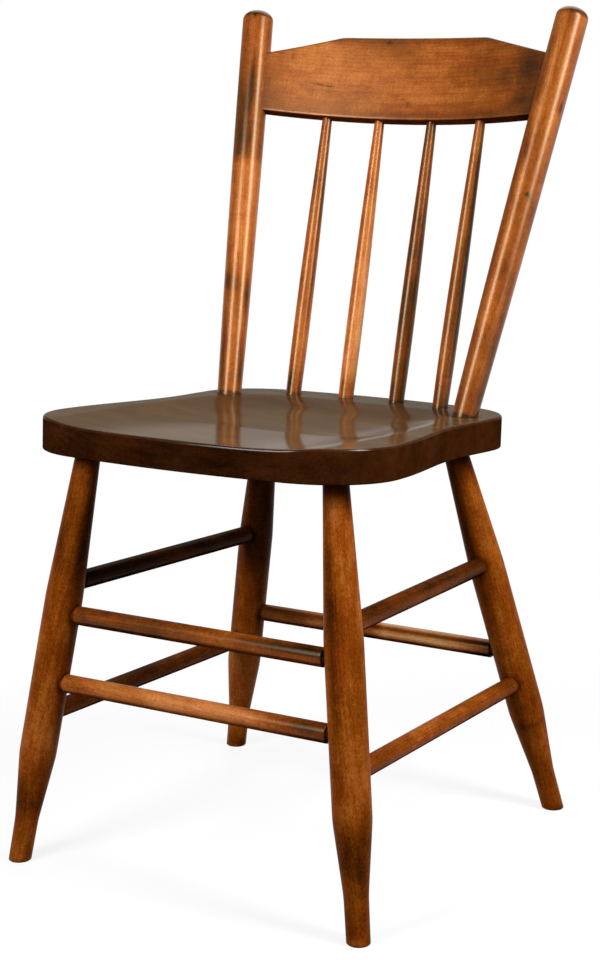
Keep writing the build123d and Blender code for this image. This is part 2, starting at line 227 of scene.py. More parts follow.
def skin(node, points, grain, tone):
    """Makes the closed mesh of a grid of loops, with its grain, tone and upward.

    points is rows x columns x 3. Each row is a closed loop. Two poles, the mean
    of the first loop and of the last, close the ends. A quad joins neighbours,
    wound so that it faces away from the piece.
    """
    rows, columns = points.shape[:2]
    verts = with_poles(points) * mm
    index = np.arange(rows * columns).reshape(rows, columns)
    here, there = index[:-1], index[1:]
    quads = np.stack([here, np.roll(here, -1, 1), np.roll(there, -1, 1), there], -1)
    low, high = rows * columns, rows * columns + 1
    first = np.stack([np.full(columns, low), np.roll(index[0], -1), index[0]], -1)
    last = np.stack([np.full(columns, high), index[-1], np.roll(index[-1], -1)], -1)
    faces = quads.reshape(-1, 4).tolist() + first.tolist() + last.tolist()
    mesh = bpy.data.meshes.new(f"{node}_wood")
    mesh.from_pydata(verts.tolist(), [], faces)
    mesh.shade_smooth()
    normals = np.empty(3 * len(verts))
    mesh.vertex_normals.foreach_get("vector", normals)
    vectors = mesh.attributes.new("grain", "FLOAT_VECTOR", "POINT").data
    vectors.foreach_set("vector", with_poles(grain).ravel())
    for name, values in (("tone", with_poles(tone)), ("upward", normals[2::3])):
        mesh.attributes.new(name, "FLOAT", "POINT").data.foreach_set("value", values)
    piece = set_down(f"{node}_wood", mesh)
    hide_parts(node)
    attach(piece, "root")
    skins[node] = piece
    print(f"{node}_wood: {len(mesh.polygons)} faces")


# %% [markdown]
# Turning: a loop of points around the axis for every distance along it. The
# plank that a part was turned from has its own place in the tree, so each part
# gets its own offset from the pith, drawn from one seeded generator, and a small
# slope to the pith, which makes the growth rings run out in long arches.
#
# The stain is never even. `tones` gives its lightness along the part, and `marks`
# are single patches: dark smudges, mineral streaks and pin knots, and in places
# painted shade on a side that the lamps light less, the seat's painted shadow and
# painted glints, as said at each piece. Where another part meets this one, more
# stain was left, which gives each joint a dark ring.

# %% Turned surfaces
random = np.random.default_rng(11)
camera_side = unit([0.505, -0.84, 0.0])
pith_distance = (30.0, 75.0)
pith_slope = 0.035
trunk_half = 4000.0
ring_stain, ring_core = 0.14, 0.6


def patches(marks, along, sideways):
    """The sum of bells: percent / 100 * exp(-(run / length)^2 - (arc / width)^2).

    run and arc are distances in mm from the middle of a mark, along and across.
    """
    total = np.zeros(np.broadcast_shapes(along.shape, sideways.shape))
    for place, across_place, length, width, percent in marks:
        run, arc = (along - place) / length, (sideways - across_place) / width
        total += percent / 100 * np.exp(-(run**2) - arc**2)
    return total


def gathered(points, centre, reach):
    """Stain round a joint: 0 at reach from its centre, 1 within ring_core * reach."""
    distance = np.linalg.norm(points - centre, axis=-1)
    return step(-distance, -reach, -ring_core * reach)


def turn(name, axis, along, radius, tones, marks=(), rings=(), columns=64, level=None):
    """A surface of revolution: radius as a function of the distance along an axis.

    A point is start + direction * along + radius * (cos(a) * front + sin(a) * side),
    where front faces the camera. tones are pairs of length and lightness in percent.
    rings are (centre, reach) pairs where the stain gathers round a joint.
    With level, loops slide along the axis by -(ring's height) / (axis's rise), which
    cuts the end level with the floor. The slide fades out between the two distances.
    """
    length, direction = measure(axis)
    front = unit(camera_side - direction * (camera_side @ direction))
    side = np.cross(direction, front)
    angle = np.linspace(-np.pi, np.pi, columns, endpoint=False)
    ring = np.cos(angle)[:, None] * front + np.sin(angle)[:, None] * side
    spokes = radius[:, None, None] * ring
    points = axis[0] + along[:, None, None] * direction + spokes
    if level:
        slide = -spokes[..., 2] / direction[2] * (1 - step(along, *level))[:, None]
        points = points + slide[..., None] * direction
    away, turned, heave = random.uniform(*pith_distance), *random.uniform(0, 2 * np.pi, 2)
    around, up_trunk = angle + turned, along[:, None]
    drift = away * np.cos(heave) + pith_slope * up_trunk
    grain = np.stack(
        np.broadcast_arrays(
            radius[:, None] * np.cos(around) + drift,
            radius[:, None] * np.sin(around) + away * np.sin(heave),
            up_trunk + random.uniform(-trunk_half, trunk_half),
        ),
        -1,
    )
    places, values = np.array(tones).T / 100
    tone = np.interp(along / length, places, values)[:, None]
    tone = tone + patches(marks, along[:, None], radius[:, None] * angle)
    for centre, reach in rings:
        tone -= ring_stain * gathered(points, centre, reach)
    skin(name, points, grain, tone)


print("turned parts face", camera_side.round(2))

# %% [markdown]
# The legs. From the floor up: a slim foot, an ankle, a knee where the leg reaches
# its full thickness, a long even swell, and a taper to the neck that goes into the
# seat. A turner cuts straight runs between those heights and eases each corner, so
# the radius is a line with soft bends. The foot is cut level with the floor and
# not square to the leg, so the lowest loops slide along the leg until they lie flat.

# %% Legs
def bent_line(x, corners, softness):
    """Straight runs through corners, with a hyperbola in place of each bend.

    y = y0 + slope0 * (x - x0) + the sum over the inner corners of
    (change of slope) * (d + sqrt(d^2 + softness^2)) / 2, where d = x - corner.
    """
    places, values = np.array(corners).T
    slopes = np.diff(values) / np.diff(places)
    y = values[0] + slopes[0] * (x - places[0])
    for place, change in zip(places[1:-1], np.diff(slopes)):
        y = y + change * (x - place + np.sqrt((x - place) ** 2 + softness**2)) / 2
    return y


ankle_height, knee_height, swell_height = 46.0, 118.0, 290.0
foot_radius, ankle_radius, swell_radius, neck_radius = 12.03, 12.5, 19.8, 13.2
neck_straight = 8.0
leg_tenon = 20.0
foot_chamfer = 1.0
bend_softness = 4.0
level_from, level_to = 5.0, 60.0
dowel_ring, seat_ring = 15.0, 24.0
own_stretcher = 1.0  # a stretcher's end is this close to the axis of its own leg
leg_rows = 280


def turned_leg(name, axis, tones, marks):
    """A leg whose radius runs foot, ankle, knee, swell, neck against its height."""
    length, direction = measure(axis)
    rise = direction[2]
    along = np.concatenate([[0.0], np.linspace(foot_chamfer, length + leg_tenon, leg_rows)])
    neck_height = (length - neck_straight) * rise
    corners = (
        (0, foot_radius),
        (ankle_height, ankle_radius),
        (knee_height, swell_radius),
        (swell_height, swell_radius),
        (neck_height, neck_radius),
        (neck_height + 100, neck_radius),  # straight on into the seat
    )
    radius = bent_line(along * rise, corners, bend_softness)
    radius[0] -= foot_chamfer
    rings = [
        (here + unit(there - here) * swell_radius, dowel_ring)
        for ends in stretchers.values()
        for here, there in (ends, ends[::-1])
        if np.linalg.norm(np.cross(here - axis[0], direction)) < own_stretcher
    ]
    rings.append((axis[1], seat_ring))
    turn(name, axis, along, radius, tones, marks, rings, level=(level_from, level_to))


print("knee to swell:", swell_height - knee_height, "mm at full thickness")

# %% [markdown]
# Stain and painted shade on the legs. Each piece has two rows of numbers. The first
# has its tones, as pairs: the percent of the length and the percent of lightness
# there. The second has its marks: how far along and across the middle of a patch is,
# its length and width in mm, and by how many percent it is lighter. Across is to the
# viewer's right. Some marks are painted shade, as said above the piece.

# %% Stain and painted shade on the legs
leg_stain_and_shade = {
    "leg_front_left": (
        ((0, 46), (10, 42), (17, 33), (22, 42), (30, 54), (55, 47), (68, 42), (78, 34), (88, 36),
         (94, 48), (100, 50)),
        ((66, 3, 7, 30, -10), (125, 13, 50, 7, 4), (209, -12, 25, 7, -8), (300, -13, 40, 7, -8),
         (370, -13, 60, 7, -12), (350, 12, 60, 8, -14)),
    ),
    # Painted shade: the long dark mark 14 mm to the left darkens the side that the lamps light
    # less.
    "leg_front_right": (
        ((0, 35), (12, 33), (22, 26), (30, 48), (60, 42), (80, 45), (100, 50)),
        ((92, -9, 20, 6, -8), (68, 6, 18, 6, -18), (57, 3, 6, 4, 10), (262, -8, 40, 6, -5),
         (335, -8, 60, 5, -5), (114, -13, 35, 6, 9), (375, -12, 18, 6, -10),
         (112, 9, 16, 4, -10), (300, -14, 150, 6, -16), (318, 12, 18, 6, -10),
         (418, -2, 15, 6, 17), (431, 12, 12, 5, -20), (4, -5, 5, 12, 14)),
    ),
    "leg_rear_left": (
        ((0, 47), (22, 56), (32, 56), (42, 40), (55, 36), (62, 24), (75, 20), (92, 20),
         (100, 34)),
        ((152, 4, 14, 8, -12), (200, 13, 60, 6, -8), (218, -12, 45, 6, 8), (352, -16, 26, 6, 16),
         (5, 9, 10, 6, -25)),
    ),
    # Painted shade: the dark marks 10 and 13 mm to the left darken the side that the lamps light
    # less, and the mark at 430 mm is the seat's painted shadow on the leg's top.
    "leg_rear_right": (
        ((0, 45), (30, 40), (45, 44), (100, 42)),
        ((202, -3, 5, 12, -10), (110, 0, 4, 20, -12), (265, 10, 40, 9, 8),
         (290, -13, 50, 6, -12), (85, -10, 30, 6, -7), (430, 8, 22, 14, -20), (3, 8, 6, 8, -15)),
    ),
}  # fmt: skip
for name, axis in legs.items():
    turned_leg(name, axis, *leg_stain_and_shade[name])

# %% [markdown]
# The stretchers are dowels. Each stops just short of its leg in a rounded shoulder,
# and a thinner tenon goes on into the leg. The shoulder is set back further where
# the leg leans towards the dowel, so the gap is the same dark line at every joint.

# %% Stretchers
stretcher_radius, tenon_radius = 10.0, 8.0
shoulder_round, round_points = 1.6, 7
shoulder_gap = 0.3
tenon_stop = 2.0
shoulder_ring = 10.5
hair = 0.01  # keeps the end of the tenon and the start of the shoulder apart
dowel_rows = 150


def standoff(name, direction):
    """Leg radius / cos(tilt) + shoulder rim * tan(tilt) + gap, from the leg's axis."""
    tilt = math.asin(abs(measure(legs[name])[1] @ direction))
    rim = stretcher_radius - shoulder_round
    return swell_radius / math.cos(tilt) + rim * math.tan(tilt) + shoulder_gap


def turned_stretcher(name, axis, tones, marks):
    """A dowel with a quarter-round shoulder and a thinner tenon at each end."""
    length, direction = measure(axis)
    leg_a, _, leg_b, _ = stretcher_heights[name]
    first = standoff(leg_a, direction)
    last = length - standoff(leg_b, direction)
    bend = np.linspace(0, np.pi / 2, round_points)
    run_in = shoulder_round * (1 - np.cos(bend))
    close_in = stretcher_radius - shoulder_round * (1 - np.sin(bend))
    body = np.linspace(first + 2 * shoulder_round, last - 2 * shoulder_round, dowel_rows)
    along = np.concatenate(
        [
            [tenon_stop, first - hair],
            first + run_in,
            body,
            last - run_in[::-1],
            [last + hair, length - tenon_stop],
        ]
    )
    tenon = np.full(2, tenon_radius)
    straight = np.full(dowel_rows, stretcher_radius)
    radius = np.concatenate([tenon, close_in, straight, close_in[::-1], tenon])
    rings = [(axis[0] + direction * place, shoulder_ring) for place in (first, last)]
    turn(name, axis, along, radius, tones, marks, rings, columns=48)


print("tenon of a stretcher:", 2 * tenon_radius, "mm thick")

# %% Stain, painted shade and a painted glint on the stretchers
# Across is down on the front and rear dowels, and up on the side dowels.
# On the front and rear dowels the long dark marks 7 or 8 mm down are painted shade on the lower
# side. On the rear dowel the light band from 55 to 82 percent of its length, between dark marks
# above and below it, is a painted glint.
stretcher_stain_shade_and_glint = {
    "stretcher_front_upper": (
        ((0, 38), (10, 28), (30, 26), (40, 34), (50, 42), (60, 46), (80, 36), (100, 20)),
        ((235, -7, 35, 4, -18), (298, -6, 48, 4, -36), (60, -3, 20, 4, 10),
         (170, 7, 100, 4, -18), (298, 1, 34, 4, 12), (20, 0, 12, 5, 8)),
    ),
    "stretcher_front_lower": (
        ((0, 42), (12, 52), (25, 62), (55, 70), (70, 62), (85, 43), (100, 18)),
        ((318, -6, 20, 6, -26), (45, -1, 16, 3, -15), (28, 5, 10, 4, 10), (150, 7, 250, 4, -20)),
    ),
    "stretcher_rear": (
        ((0, 36), (15, 42), (30, 58), (38, 50), (50, 70), (55, 104), (82, 104), (92, 54),
         (100, 28)),
        ((240, -7, 150, 4, -60), (240, 8, 150, 5, -84), (105, 0, 14, 5, 12), (48, 0, 16, 5, 8)),
    ),
    "stretcher_left_upper": (
        ((0, 14), (20, 17), (50, 22), (75, 22), (90, 17), (100, 15)),
        (),
    ),
    "stretcher_left_lower": (
        ((0, 38), (30, 20), (55, 21), (70, 25), (80, 23), (90, 34), (100, 40)),
        ((360, 8, 40, 4, -20), (240, 8, 80, 4, 6)),
    ),
    "stretcher_right_upper": (
        ((0, 30), (12, 25), (25, 27), (50, 25), (100, 21)),
        ((310, 7, 50, 4, -20), (200, -8, 110, 3, -10)),
    ),
    "stretcher_right_lower": (
        ((0, 44), (12, 38), (30, 46), (55, 50), (65, 42), (80, 36), (100, 32)),
        ((230, 8, 200, 4, -20),),
    ),
}  # fmt: skip
for name, axis in stretchers.items():
    turned_stretcher(name, axis, *stretcher_stain_shade_and_glint[name])

# %% [markdown]
# The back posts grow a little towards their heads, as one curve through three
# radii, and end in a flattened dome that was sanded round. The dome is end grain,
# which drinks more stain, so it is darker. Stain and lacquer also gather in a thin
# dark collar where a post goes into the seat: a mark that runs all the way round.

# %% Back posts
post_radii = (13.8, 16.9, 17.8)
cap_height, cap_inset = 12.4, 0.5
post_tenon = 20.0
all_round = 999
post_collar = (0, 0, 1.1, all_round, -26)
cap_edge, cap_darker, cap_tone = 3.0, 20, 15
post_rows, cap_rows = 250, 30
cap_open = 0.03  # the angle at the dome's peak that the pole closes


def turned_post(name, axis, tones, marks):
    """The parabola through three radii, then half an ellipse for the cap.

    On the cap, along = shaft + (cap height - inset) * sin(a) and radius = R * cos(a).
    """
    length, _ = measure(axis)
    shaft = length - cap_height
    curve = np.polyfit([0, shaft / 2, shaft], post_radii, 2)
    body = np.linspace(0, shaft, post_rows)
    a = np.linspace(0, np.pi / 2 - cap_open, cap_rows)[1:]
    cap = shaft + (cap_height - cap_inset) * np.sin(a)
    along = np.concatenate([[-post_tenon], body, cap])
    radius = np.concatenate([post_radii[:1], np.polyval(curve, body), post_head_radius * np.cos(a)])
    last = tones[-1][1]
    rim, over = 100 * shaft / length, 100 * (shaft + cap_edge) / length
    tones = (*tones, (rim, last), (over, last - cap_darker), (100, cap_tone))
    turn(name, axis, along, radius, tones, (post_collar, *marks))


print("the cap's height:", cap_height, "mm")

# %% Stain and painted shade on the back posts
post_stain_and_shade = {
    "back_post_left": (
        ((0, 40), (12, 50), (20, 49), (27, 48), (34, 56), (45, 59), (58.5, 55), (61.2, 34),
         (70, 30), (77, 27), (83, 42), (90, 48), (96, 48)),
        ((360, -12, 18, 6, 10), (300, 12, 45, 6, 6), (304, -9, 24, 5, -20), (299, 0, 9, 4, -10),
         (317, -2, 1.2, 16, -10), (332, 2.5, 12, 3, 10), (356, -3, 26, 3.5, -18),
         (380, -1, 14, 2, -16), (400, 12, 50, 5, 8), (435, -12, 25, 4, -8),
         (448, -3.8, 3.2, 1.5, -40), (230, -12, 45, 4, -8), (245, 12, 22, 5, 12),
         (207, -5, 1.0, 9, -14), (203, -3, 0.8, 6, -8), (130, -13, 12, 5, -30),
         (128, -2, 10, 5, -12), (112, 13, 16, 4.5, -20), (90, 3, 14, 3, -10),
         (40, -12, 40, 5, -26), (288, 0, 14, 5, -8), (27, 12, 25, 5, -18)),
    ),
    # Painted shade: the dark marks 17 and 23 mm to the right darken the post's right outline.
    "back_post_right": (
        ((0, 33), (12, 41), (30, 42), (50, 41), (56, 43), (57, 38), (75, 43), (96, 44)),
        ((246, 1, 2.2, 1.5, -60), (243, 4, 3.5, 0.9, -60), (346, 13.4, 6, 1.7, -45),
         (298, -14, 14, 3, -20), (285, -10, 8, 4, -10), (400, -4.5, 45, 1.0, -14),
         (350, -8, 40, 0.9, -10), (250, -12, 190, 5, 10), (90, 12, 110, 5, -10),
         (330, 12, 130, 5, 8), (300, -12, 40, 6, 8), (40, 17, 45, 9, -12),
         (230, 23, 240, 6, -14)),
    ),
}  # fmt: skip
for name, axis in posts.items():
    turned_post(name, axis, *post_stain_and_shade[name])

# %% [markdown]
# The spindles are fullest a third of the way up and thin at the crest rail. One
# cubic passes through their four radii. They have a dark collar at both ends.

# %% Spindles
spindle_shares = (0.0, 0.3, 0.75, 1.0)
spindle_radii = (8.7, 9.2, 7.3, 5.6)
base_collar = (0, 0, 0.9, all_round, -22)
head_length, head_darker = 1.5, -20
spindle_ends = (-0.05, 1.04)  # shares of the length, in the seat and in the rail
spindle_rows = 200


def turned_spindle(name, axis, tones, marks):
    """The cubic through four radii, with its ends hidden in the seat and the rail."""
    length, _ = measure(axis)
    curve = np.polyfit(spindle_shares, spindle_radii, 3)
    share = np.linspace(*spindle_ends, spindle_rows)
    radius = np.polyval(curve, np.clip(share, 0, 1))
    head_collar = (length, 0, head_length, all_round, head_darker)
    marks = (base_collar, head_collar, *marks)
    turn(name, axis, share * length, radius, tones, marks, columns=40)


print("spindle at its fullest:", 2 * max(spindle_radii), "mm")

# %% Stain and a painted glint on the spindles
spindle_stain_and_glint = {
    "spindle_1": (
        ((0, 42), (12, 49), (22, 57), (40, 50), (50, 54), (75, 46), (85, 47), (100, 43)),
        ((215, 6, 75, 3, -26), (110, 6, 30, 3, -8), (60, -6, 35, 2.5, -10), (12, -6, 14, 3, -40),
         (12, 6, 14, 3, -12), (311, 6, 13, 4, -16)),
    ),
    "spindle_2": (
        ((0, 60), (14, 72), (30, 69), (45, 63), (60, 60), (75, 56), (100, 50)),
        ((180, -6, 70, 2.5, -14), (12, -6, 14, 2.5, -30), (10, 3, 10, 9, -12),
         (12, 8, 12, 5, -14), (75, -6, 45, 2.5, -10), (100, 6, 80, 3, 14), (315, 6, 28, 3, -28)),
    ),
    "spindle_3": (
        ((0, 33), (14, 41), (22, 34), (38, 29), (46, 36), (54, 24), (62, 30), (70, 40), (78, 38),
         (86, 32), (100, 31)),
        ((120, 3, 24, 5, -10), (230, 5, 80, 2.5, -6), (180, -6, 170, 3, -10),
         (10, -6, 12, 3, -14), (12, 6, 14, 3, -20)),
    ),
    # The light mark at 26 mm, 6 mm to the right, is a painted glint.
    "spindle_4": (
        ((0, 30), (14, 46), (30, 50), (42, 44), (55, 52), (75, 55), (86, 60), (100, 57)),
        ((130, 7, 130, 4, -44), (275, 5, 40, 3, -20), (240, -6, 60, 2.5, -20),
         (322, 5, 20, 3, 10), (26, 6, 16, 4, 18), (45, -6, 25, 3, 10), (10, -6, 12, 3, -12)),
    ),
}  # fmt: skip
for name, axis in spindles.items():
    turned_spindle(name, axis, *spindle_stain_and_glint[name])

# %% [markdown]
# Two pegs lock the crest rail from behind the posts. Only their rounded ends show.

# %% Pegs
peg_radius, peg_round, peg_proud = 2.5, 0.4, 0.5
peg_depth = 10.0
peg_tone = 35
crest_end_height = 69.8
_, post_line = measure(posts["back_post_right"])


def peg_axis(side):
    """From peg_depth in front of the post's axis to just proud of the post's back.

    The peg crosses the post's axis at half the height of the rail's end, and is
    square to the rail's bend there.
    """
    height = crest_end_height / 2 + crest_base
    climb = height / (post_line @ crest_up)
    centre = crest_origin + crest_up * height + crest_back * (post_line @ crest_back) * climb
    centre = centre + side * across * (half_chord + post_line[0] * climb)
    out = half_chord / bend_radius
    backward = side * out * across + math.sqrt(1 - out**2) * crest_back
    return centre - backward * peg_depth, centre + backward * (post_head_radius + peg_proud)


for word, side in sides.items():
    axis = peg_axis(side)
    length, _ = measure(axis)
    rim = np.linspace(0, np.pi / 2, round_points)
    along = np.concatenate([[0.0], length - peg_round * (1 - np.sin(rim))])
    radius = np.concatenate([[peg_radius], peg_radius - peg_round * (1 - np.cos(rim))])
    tones = ((0, peg_tone), (100, peg_tone))
    turn(f"crest_peg_{word}", axis, along, radius, tones, columns=24)

# %% [markdown]
# The crest rail is a bent board: at every angle round the bend, one closed section
# with rounded corners. Its top is highest in the middle, bends down at two knees,
# and falls in straight lines to the posts. Its ends lean outwards with the posts.

# %% The board's outline
crest_thickness, crest_edge = 18.0, 2.5
crest_knee_x, crest_knee = 91.0, 66.4
crest_crown, knee_softness = 1.9, 2.7
crest_rows, face_points, edge_points, corner_points = 280, 70, 7, 6
crest_end = crest_end_height + crest_base
end_setback = 13.5
post_slope = post_line[0] / (post_line @ crest_up)
end_x = half_chord + post_slope * crest_end - end_setback


def crest_top(x):
    """Up the face: straight falls outside the knees and a low crown between them.

    The crown is crest_crown * (1 - (x / knee's x)^2).
    """
    corners = ((0, crest_knee), (crest_knee_x, crest_knee), (end_x, crest_end))
    falls = bent_line(np.abs(x), corners, knee_softness)
    return falls + crest_crown * np.clip(1 - (x / crest_knee_x) ** 2, 0, 1)


def rounded_section(bottom, top, half, corner):
    """Closed loops round rectangles with quarter-round corners: (outward, height).

    bottom and top hold one value per loop. The loops go back, top, front, bottom.
    """
    quarter = np.linspace(0, np.pi / 2, corner_points)
    loops = []
    for k, (sx, sy) in enumerate(((1, 1), (-1, 1), (-1, -1), (1, -1))):
        a = quarter + k * np.pi / 2
        edge = (top if sy > 0 else bottom) - sy * corner
        out = sx * (half - corner) + corner * np.cos(a)
        loops.append(np.stack(np.broadcast_arrays(out, edge[:, None] + corner * np.sin(a)), -1))
    filled = []
    for k, count in enumerate((edge_points, face_points, edge_points, face_points)):
        share = np.linspace(0, 1, count + 2)[1:-1, None]
        after = loops[(k + 1) % 4][:, :1]
        filled += [loops[k], loops[k][:, -1:] * (1 - share) + after * share]
    return np.concatenate(filled, 1)


print("rail, edge to edge:", round(crest_knee + crest_crown - crest_base, 1), "mm in the middle")

# %% Crest rail
shares = np.linspace(-1, 1, crest_rows)
x = end_x * shares
bottom = np.full(crest_rows, crest_base)
section = rounded_section(bottom, crest_top(x), crest_thickness / 2, crest_edge)
outward, height = section[..., 0], section[..., 1]
ends = np.arcsin((half_chord + post_slope * height - end_setback) / bend_radius)
turned = shares[:, None] * ends
points = crest_point(turned, height, outward)
along = bend_radius * turned
print("crest rail:", points.shape[:2], "rows and columns")

# %% [markdown]
# Stain and painted shade on the crest rail. It darkens to the viewer's right in two
# steps. The top and the underside are darker, the front and back arris most: on the
# top edge that is stain rubbed in, and on the underside painted shade. More stain was
# left in the corners by the posts. The rail's grain follows the bend.

# %% Stain and painted shade on the crest rail
crest_tone = 0.49
crest_steps = ((20, 150, 0.08), (110, 175, 0.06))  # from, to, how much darker
edge_stain_and_shade, arris_stain_and_shade, corner_stain = 0.1, 0.2, 0.2
edge_width = (0.2, 2.2)
arris_width, bare_face = (1.5, 3.5), 0.1
corner_length = 5.0
crest_in_plank = (18, 62, 700)
crest_marks = (  # along the bend, up the face, length, width, percent lighter
    (130, 17, 9, 10, -14), (165, 24, 14, 26, -16), (160, -12, 16, 9, -12), (70, 11, 14, 5, -10),
    (77, 11, 0.9, 4, 16), (145, 12, 0.9, 5, 14), (-113, 7.6, 5, 0.8, -40),
    (-102, 6.4, 5, 0.8, -40), (-16, -1.5, 5, 0.8, -14), (-4, -5, 3, 1.2, -20),
    (3, -11, 1.6, 3.5, -20), (-152, 38, 1.2, 5, -20), (-35, 62, 3, 2, -30),
    (-30, 56, 30, 10, -8), (0, -24, 120, 4, -10), (0, 64, 130, 5, -12), (-170, 25, 14, 40, -6),
)  # fmt: skip
tone = crest_tone + patches(crest_marks, along, height)
for start, stop, darker in crest_steps:
    tone -= darker * step(along, start, stop)
from_edge = np.minimum(height - crest_base, crest_top(x)[:, None] - height)
from_face = crest_thickness / 2 - np.abs(outward)
on_edge = 1 - step(from_edge, *edge_width)
on_arris = (from_face > bare_face) * (1 - step(from_face, *arris_width))
# Darker top and underside: stain on the top edge, painted shade on the underside.
tone -= on_edge * (edge_stain_and_shade + arris_stain_and_shade * on_arris)
tone -= corner_stain * np.exp(-(end_x - np.abs(x))[:, None] / corner_length)
grain = np.stack([height, outward, along], -1) + crest_in_plank
skin("crest_rail", points, grain, tone)

# %% [markdown]
# The seat. Its outline is a chain of curves: a bowed front edge, a round corner, a
# drawn-in side, a rear corner and a bowed rear edge, and the same again mirrored.
# Loops of that outline grow from the middle of the top, run over the rounded edge,
# down the wall and under the plank.

# %% The seat's outline
seat_front, seat_rear = -261.93, 174.0
front_bow, rear_bow = 909.0, 800.0
front_half, rear_half = 203.0, 184.0
front_corner, rear_corner = 87.0, 78.0
waist_half, waist_y = 181.5, 9.0
arc_points, outline_points = 200, 480


def arc(centre, radius, first, last):
    """Points of a circle's arc between two angles."""
    a = np.linspace(first, last, arc_points)
    return np.stack([centre[0] + radius * np.cos(a), centre[1] + radius * np.sin(a)], -1)


def side_curve(y, low, high):
    """The drawn-in side: two cubics that meet at the waist, upright at both ends.

    The slope at the waist is the one that makes their curvatures agree.
    """
    below, above = waist_y - low, high - waist_y
    slope = 1.5 * ((waist_half - front_half) / below**2 + (rear_half - waist_half) / above**2)
    slope /= 1 / below + 1 / above
    t = np.where(y < waist_y, (y - low) / below, (y - waist_y) / above)
    ease = t * t * (3 - 2 * t)
    first = front_half + (waist_half - front_half) * ease + slope * below * t * t * (t - 1)
    second = waist_half + (rear_half - waist_half) * ease + slope * above * t * (1 - t) ** 2
    return np.where(y < waist_y, first, second)


def corner_centre(edge, bow, half, corner, way):
    """The centre of a bow, that of its corner's arc, and the angle where they meet.

    Two circles that touch inside have their centres bow - corner apart.
    """
    centre_y, x = edge - way * bow, half - corner
    y = centre_y + way * math.sqrt((bow - corner) ** 2 - x**2)
    return (0, centre_y), (x, y), math.atan2(y - centre_y, x)


def seat_outline():
    """The outline as evenly spaced points, counter-clockwise, with outward normals."""
    front, low, low_angle = corner_centre(seat_front, front_bow, front_half, front_corner, -1)
    rear, high, high_angle = corner_centre(seat_rear, rear_bow, rear_half, rear_corner, 1)
    y = np.linspace(low[1], high[1], 2 * arc_points)
    half = np.concatenate(
        [
            arc(front, front_bow, -np.pi / 2, low_angle),
            arc(low, front_corner, low_angle, 0),
            np.stack([side_curve(y, low[1], high[1]), y], -1),
            arc(high, rear_corner, 0, high_angle),
            arc(rear, rear_bow, high_angle, np.pi / 2),
        ]
    )
    whole = np.concatenate([half, half[::-1] * [-1, 1]])
    travelled = np.append(0, np.cumsum(np.linalg.norm(np.diff(whole, axis=0), axis=1)))
    even = np.linspace(0, travelled[-1], outline_points, endpoint=False)
    points = np.stack([np.interp(even, travelled, whole[:, k]) for k in (0, 1)], -1)
    run = np.roll(points, -1, 0) - np.roll(points, 1, 0)
    normals = np.stack([run[:, 1], -run[:, 0]], -1)
    return points, normals / np.linalg.norm(normals, axis=1)[:, None]


outline, outline_normals = seat_outline()
print("seat:", np.ptp(outline, axis=0).round(1), "mm wide and deep")

# %% [markdown]
# The saddle is the hollow that fits a sitter. The carver takes it down in a soft
# step in front of the spindles, keeps a nearly flat floor, and stops at a crease
# near the front, from where the wood rises again to the front edge. That crease is
# a real change of slope: it bends the mirrored posts and spindles.

# %% The saddle's depth
saddle_rear, saddle_crease = 109.0, -101.0
saddle_depth, front_depth = 9.5, 4.3
crease_half, front_edge_half = 168.0, 164.0
saddle_places = (0.0, 0.12, 0.3, 0.62, 1.0)
saddle_depths = (0.0, 0.2, 0.74, 0.95, 1.0)
saddle_widths = (0.7, 0.84, 0.92, 0.96, 1.0)
saddle_power = 5.6


def smooth_through(x, places, values):
    """A cubic between each two places, with slopes taken from their neighbours."""
    places, values = np.array(places), np.array(values)
    slopes = np.gradient(values, places)
    k = np.clip(np.searchsorted(places, x) - 1, 0, len(places) - 2)
    span = places[k + 1] - places[k]
    t = (x - places[k]) / span
    rise = values[k + 1] - values[k]
    bend_in, bend_out = slopes[k] * span - rise, rise - slopes[k + 1] * span
    return values[k] + t * rise + t * (1 - t) * ((1 - t) * bend_in + t * bend_out)


def saddle(x, y):
    """How deep the top is hollowed at a point of the seat.

    The depth is (depth along the seat) * (1 - |x / half width|^power)^2, a broad
    floor that turns up softly at both sides.
    """
    way = np.clip((saddle_rear - y) / (saddle_rear - saddle_crease), 0, 1)
    ahead = np.clip((saddle_crease - y) / (saddle_crease - seat_front), 0, 1)
    depth = saddle_depth * smooth_through(way, saddle_places, saddle_depths)
    depth -= (saddle_depth - front_depth) * ahead
    half = crease_half * np.interp(way, saddle_places, saddle_widths)
    half = half + (front_edge_half - crease_half) * ahead
    return depth * np.clip(1 - np.abs(x / half) ** saddle_power, 0, 1) ** 2


print("hollow in the middle:", saddle(np.array(0.0), np.array(-60.0)).round(1), "mm")

# %% The seat's surface
top_round, bottom_round = 3.0, 1.5
seat_middle = np.array([0.0, -44.0])
top_rows, edge_rows, wall_rows, foot_rows, under_rows = 150, 8, 14, 6, 30
top_start, under_stop = 0.01, 0.02


